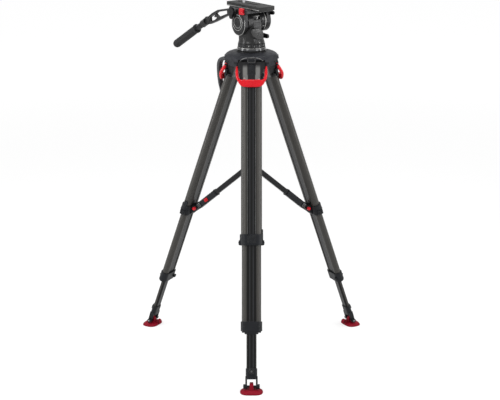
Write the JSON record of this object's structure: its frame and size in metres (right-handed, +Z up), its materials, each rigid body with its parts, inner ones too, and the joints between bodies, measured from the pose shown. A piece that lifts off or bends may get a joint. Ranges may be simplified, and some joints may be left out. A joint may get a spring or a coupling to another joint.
{
  "type": "camera tripod with fluid head",
  "caption": "Telescopic film tripod with mid-level spreader, red release bails, bowl-mounted fluid head, sliding camera plate and a folding pan bar.",
  "frame": {"origin": "on the floor, at the middle of the rectangle that the footprint and the pan bar fill", "axes": "+Z up, -Y toward the front leg, +X toward the right leg seen from the front leg"},
  "size_m": [0.7992, 0.6995, 1.2309],
  "materials": {
    "crown": "matt black coat",
    "yoke": "grey satin coat",
    "red": "satin",
    "red_small": "gloss",
    "carbon": "clear-coated carbon weave",
    "collar": "moulded black",
    "pin": "machined",
    "foot": "dark red rubber",
    "handle": "soft grey rubber",
    "hub": "moulded",
    "head": "dark grey satin coat",
    "head_grey": "light grey satin coat",
    "head_black": "moulded black",
    "bright": "machined",
    "grip": "ribbed rubber"
  },
  "bodies": {
    "crown": {"crown": "crown", "leg_hinge_pins": "pin"},
    "leg_front": {"leg_yoke_front": "yoke", "upper_tube_front": "carbon", "upper_collar_front": "collar", "spreader_pin_front": "red_small"},
    "bail_front": {"leg_bail_front": "red"},
    "mid_front": {"mid_tube_front": "carbon", "mid_collar_front": "collar"},
    "lower_front": {"lower_tube_front": "carbon", "foot_fork_front": "collar"},
    "pad_front": {"foot_pad_front": "foot"},
    "sleeve_front": {"spreader_sleeve_front": "collar"},
    "button_front": {"spreader_button_front": "red_small"},
    "rod_front": {"spreader_rod_front": "carbon"},
    "leg_right": {"leg_yoke_right": "yoke", "upper_tube_right": "carbon", "upper_collar_right": "collar", "spreader_pin_right": "red_small"},
    "bail_right": {"leg_bail_right": "red"},
    "mid_right": {"mid_tube_right": "carbon", "mid_collar_right": "collar"},
    "lower_right": {"lower_tube_right": "carbon", "foot_fork_right": "collar"},
    "pad_right": {"foot_pad_right": "foot"},
    "sleeve_right": {"spreader_sleeve_right": "collar"},
    "button_right": {"spreader_button_right": "red_small"},
    "rod_right": {"spreader_rod_right": "carbon"},
    "leg_left": {"leg_yoke_left": "yoke", "upper_tube_left": "carbon", "upper_collar_left": "collar", "spreader_pin_left": "red_small", "carry_handle": "handle"},
    "bail_left": {"leg_bail_left": "red"},
    "mid_left": {"mid_tube_left": "carbon", "mid_collar_left": "collar"},
    "lower_left": {"lower_tube_left": "carbon", "foot_fork_left": "collar"},
    "pad_left": {"foot_pad_left": "foot"},
    "sleeve_left": {"spreader_sleeve_left": "collar"},
    "button_left": {"spreader_button_left": "red_small"},
    "rod_left": {"spreader_rod_left": "carbon"},
    "hub": {"spreader_hub": "hub"},
    "ball": {"half_ball": "bright", "pan_base": "head"},
    "clamp_knob": {"ball_clamp_knob": "head_black"},
    "pan_drag": {"pan_drag_ring": "head_black"},
    "pan": {"pan_housing": "head"},
    "pan_brake": {"pan_brake_lever": "head_grey"},
    "tilt_brake": {"tilt_brake_lever": "head_black"},
    "tilt": {"cradle": "head"},
    "tilt_drag": {"tilt_drag_ring": "head_black"},
    "plate": {"camera_plate": "head"},
    "screw": {"camera_screw": "pin"},
    "plate_lock": {"plate_lock_lever": "head_black"},
    "plate_release": {"plate_release_button": "red"},
    "bar_knob": {"pan_bar_knob": "head_black"},
    "bar": {"pan_bar_arm": "head_grey", "pan_bar_tube": "head"},
    "bar_grip": {"pan_bar_grip": "grip"}
  },
  "joints": [
    {"name": "leg_swing_front", "type": "hinge", "parent": "crown", "child": "leg_front", "pos_m": [0, 0.0475, 1.02895], "axis": [-1, 0, 0], "range_deg": [-17.5, 0]},
    {"name": "bail_front", "type": "hinge", "parent": "leg_front", "child": "bail_front", "pos_m": [0, 0.03007, 1.01614], "axis": [-1, 0, 0], "range_deg": [0, 60]},
    {"name": "mid_slide_front", "type": "slide", "parent": "leg_front", "child": "mid_front", "axis": [0, -0.342, -0.9397], "range_m": [-0.245, 0.16]},
    {"name": "lower_slide_front", "type": "slide", "parent": "mid_front", "child": "lower_front", "axis": [0, -0.342, -0.9397], "range_m": [-0.108, 0.23]},
    {"name": "ankle_front", "type": "hinge", "parent": "lower_front", "child": "pad_front", "pos_m": [0, -0.31973, 0.02], "axis": [-1, 0, 0], "range_deg": [-18, 18]},
    {"name": "sleeve_pivot_front", "type": "hinge", "parent": "leg_front", "child": "sleeve_front", "pos_m": [0, -0.11935, 0.4799], "axis": [-1, 0, 0], "range_deg": [-25.22, 0]},
    {"name": "rod_slide_front", "type": "slide", "parent": "sleeve_front", "child": "rod_front", "axis": [0, 0.766, 0.6428], "range_m": [-0.0447, 0]},
    {"name": "spreader_button_front", "type": "slide", "parent": "sleeve_front", "child": "button_front", "axis": [-1, 0, 0], "range_m": [0, 0.0012], "stiffness_N_per_m": 600, "springref_m": -0.0008},
    {"name": "leg_swing_right", "type": "hinge", "parent": "crown", "child": "leg_right", "pos_m": [0.04677, 0.1285, 1.02895], "axis": [0.5, -0.866, 0], "range_deg": [-17.5, 0]},
    {"name": "bail_right", "type": "hinge", "parent": "leg_right", "child": "bail_right", "pos_m": [0.06186, 0.13722, 1.01614], "axis": [0.5, -0.866, 0], "range_deg": [0, 60]},
    {"name": "mid_slide_right", "type": "slide", "parent": "leg_right", "child": "mid_right", "axis": [0.2962, 0.171, -0.9397], "range_m": [-0.245, 0.16]},
    {"name": "lower_slide_right", "type": "slide", "parent": "mid_right", "child": "lower_right", "axis": [0.2962, 0.171, -0.9397], "range_m": [-0.108, 0.23]},
    {"name": "ankle_right", "type": "hinge", "parent": "lower_right", "child": "pad_right", "pos_m": [0.36479, 0.31211, 0.02], "axis": [0.5, -0.866, 0], "range_deg": [-18, 18]},
    {"name": "sleeve_pivot_right", "type": "hinge", "parent": "leg_right", "child": "sleeve_right", "pos_m": [0.19126, 0.21192, 0.4799], "axis": [0.5, -0.866, 0], "range_deg": [-25.22, 0]},
    {"name": "rod_slide_right", "type": "slide", "parent": "sleeve_right", "child": "rod_right", "axis": [-0.6634, -0.383, 0.6428], "range_m": [-0.0447, 0]},
    {"name": "spreader_button_right", "type": "slide", "parent": "sleeve_right", "child": "button_right", "axis": [0.5, -0.866, 0], "range_m": [0, 0.0012], "stiffness_N_per_m": 600, "springref_m": -0.0008},
    {"name": "leg_swing_left", "type": "hinge", "parent": "crown", "child": "leg_left", "pos_m": [-0.04677, 0.1285, 1.02895], "axis": [0.5, 0.866, 0], "range_deg": [-17.5, 0]},
    {"name": "bail_left", "type": "hinge", "parent": "leg_left", "child": "bail_left", "pos_m": [-0.06186, 0.13722, 1.01614], "axis": [0.5, 0.866, 0], "range_deg": [0, 12]},
    {"name": "mid_slide_left", "type": "slide", "parent": "leg_left", "child": "mid_left", "axis": [-0.2962, 0.171, -0.9397], "range_m": [-0.245, 0.16]},
    {"name": "lower_slide_left", "type": "slide", "parent": "mid_left", "child": "lower_left", "axis": [-0.2962, 0.171, -0.9397], "range_m": [-0.108, 0.23]},
    {"name": "ankle_left", "type": "hinge", "parent": "lower_left", "child": "pad_left", "pos_m": [-0.36479, 0.31211, 0.02], "axis": [0.5, 0.866, 0], "range_deg": [-18, 18]},
    {"name": "sleeve_pivot_left", "type": "hinge", "parent": "leg_left", "child": "sleeve_left", "pos_m": [-0.19126, 0.21192, 0.4799], "axis": [0.5, 0.866, 0], "range_deg": [-25.22, 0]},
    {"name": "rod_slide_left", "type": "slide", "parent": "sleeve_left", "child": "rod_left", "axis": [0.6634, -0.383, 0.6428], "range_m": [-0.0447, 0]},
    {"name": "spreader_button_left", "type": "slide", "parent": "sleeve_left", "child": "button_left", "axis": [0.5, 0.866, 0], "range_m": [0, 0.0012], "stiffness_N_per_m": 600, "springref_m": -0.0008},
    {"name": "hub_level", "type": "hinge", "parent": "rod_front", "child": "hub", "pos_m": [0, 0.0805, 0.64759], "axis": [-1, 0, 0], "range_deg": [0, 42.72]},
    {"name": "ball_level", "type": "hinge", "parent": "crown", "child": "ball", "pos_m": [0, 0.1015, 1.06195], "axis": [1, 0, 0], "range_deg": [-3, 3]},
    {"name": "ball_clamp", "type": "hinge", "parent": "ball", "child": "clamp_knob", "pos_m": [0, 0.1015, 0.99995], "axis": [0, 0, 1], "range_deg": [0, 270]},
    {"name": "pan_drag", "type": "hinge", "parent": "ball", "child": "pan_drag", "pos_m": [0, 0.1015, 1.08395], "axis": [0, 0, 1], "range_deg": [0, 210]},
    {"name": "pan", "type": "hinge", "parent": "ball", "child": "pan", "pos_m": [0, 0.1015, 1.09095], "axis": [0, 0, 1], "continuous": true},
    {"name": "pan_brake", "type": "hinge", "parent": "pan", "child": "pan_brake", "pos_m": [0.02455, 0.06358, 1.12595], "axis": [0.6157, -0.788, 0], "range_deg": [-8, 30]},
    {"name": "tilt_brake", "type": "hinge", "parent": "pan", "child": "tilt_brake", "pos_m": [0.04029, 0.1279, 1.10945], "axis": [0.788, 0.6157, 0], "range_deg": [-15, 30]},
    {"name": "tilt", "type": "hinge", "parent": "pan", "child": "tilt", "pos_m": [0, 0.1015, 1.16295], "axis": [0.788, 0.6157, 0], "range_deg": [-20, 60]},
    {"name": "tilt_drag", "type": "hinge", "parent": "pan", "child": "tilt_drag", "pos_m": [0.0197, 0.11689, 1.16295], "axis": [0.788, 0.6157, 0], "range_deg": [0, 210]},
    {"name": "plate_slide", "type": "slide", "parent": "tilt", "child": "plate", "axis": [0.6157, -0.788, 0], "range_m": [-0.035, 0.035]},
    {"name": "camera_screw", "type": "hinge", "parent": "plate", "child": "screw", "pos_m": [-0.02581, 0.1321, 1.21495], "axis": [0, 0, 1], "continuous": true},
    {"name": "plate_lock", "type": "hinge", "parent": "tilt", "child": "plate_lock", "pos_m": [0.06233, 0.11593, 1.18995], "axis": [0.788, 0.6157, 0], "range_deg": [0, 75]},
    {"name": "plate_release", "type": "slide", "parent": "tilt", "child": "plate_release", "axis": [0.788, 0.6157, 0], "range_m": [0, 0.003], "stiffness_N_per_m": 400, "springref_m": -0.002},
    {"name": "pan_bar", "type": "hinge", "parent": "tilt", "child": "bar", "pos_m": [-0.06117, 0.07909, 1.19595], "axis": [0.788, 0.6157, 0], "range_deg": [0, 90]},
    {"name": "pan_bar_clamp", "type": "hinge", "parent": "tilt", "child": "bar_knob", "pos_m": [-0.06747, 0.07416, 1.19595], "axis": [0.788, 0.6157, 0], "range_deg": [0, 270]},
    {"name": "bar_extend", "type": "slide", "parent": "bar", "child": "bar_grip", "axis": [-0.5332, 0.6824, -0.5], "range_m": [0, 0.06]}
  ],
  "couplings": [
    {"joint": "sleeve_pivot_front", "follows": "leg_swing_front", "ratio": 1.44},
    {"joint": "rod_slide_front", "follows": "leg_swing_front", "m_per_rad": 0.14585},
    {"joint": "leg_swing_right", "follows": "leg_swing_front", "ratio": 1},
    {"joint": "sleeve_pivot_right", "follows": "leg_swing_front", "ratio": 1.44},
    {"joint": "rod_slide_right", "follows": "leg_swing_front", "m_per_rad": 0.14585},
    {"joint": "leg_swing_left", "follows": "leg_swing_front", "ratio": 1},
    {"joint": "sleeve_pivot_left", "follows": "leg_swing_front", "ratio": 1.44},
    {"joint": "rod_slide_left", "follows": "leg_swing_front", "m_per_rad": 0.14585},
    {"joint": "hub_level", "follows": "leg_swing_front", "ratio": -2.44}
  ]
}
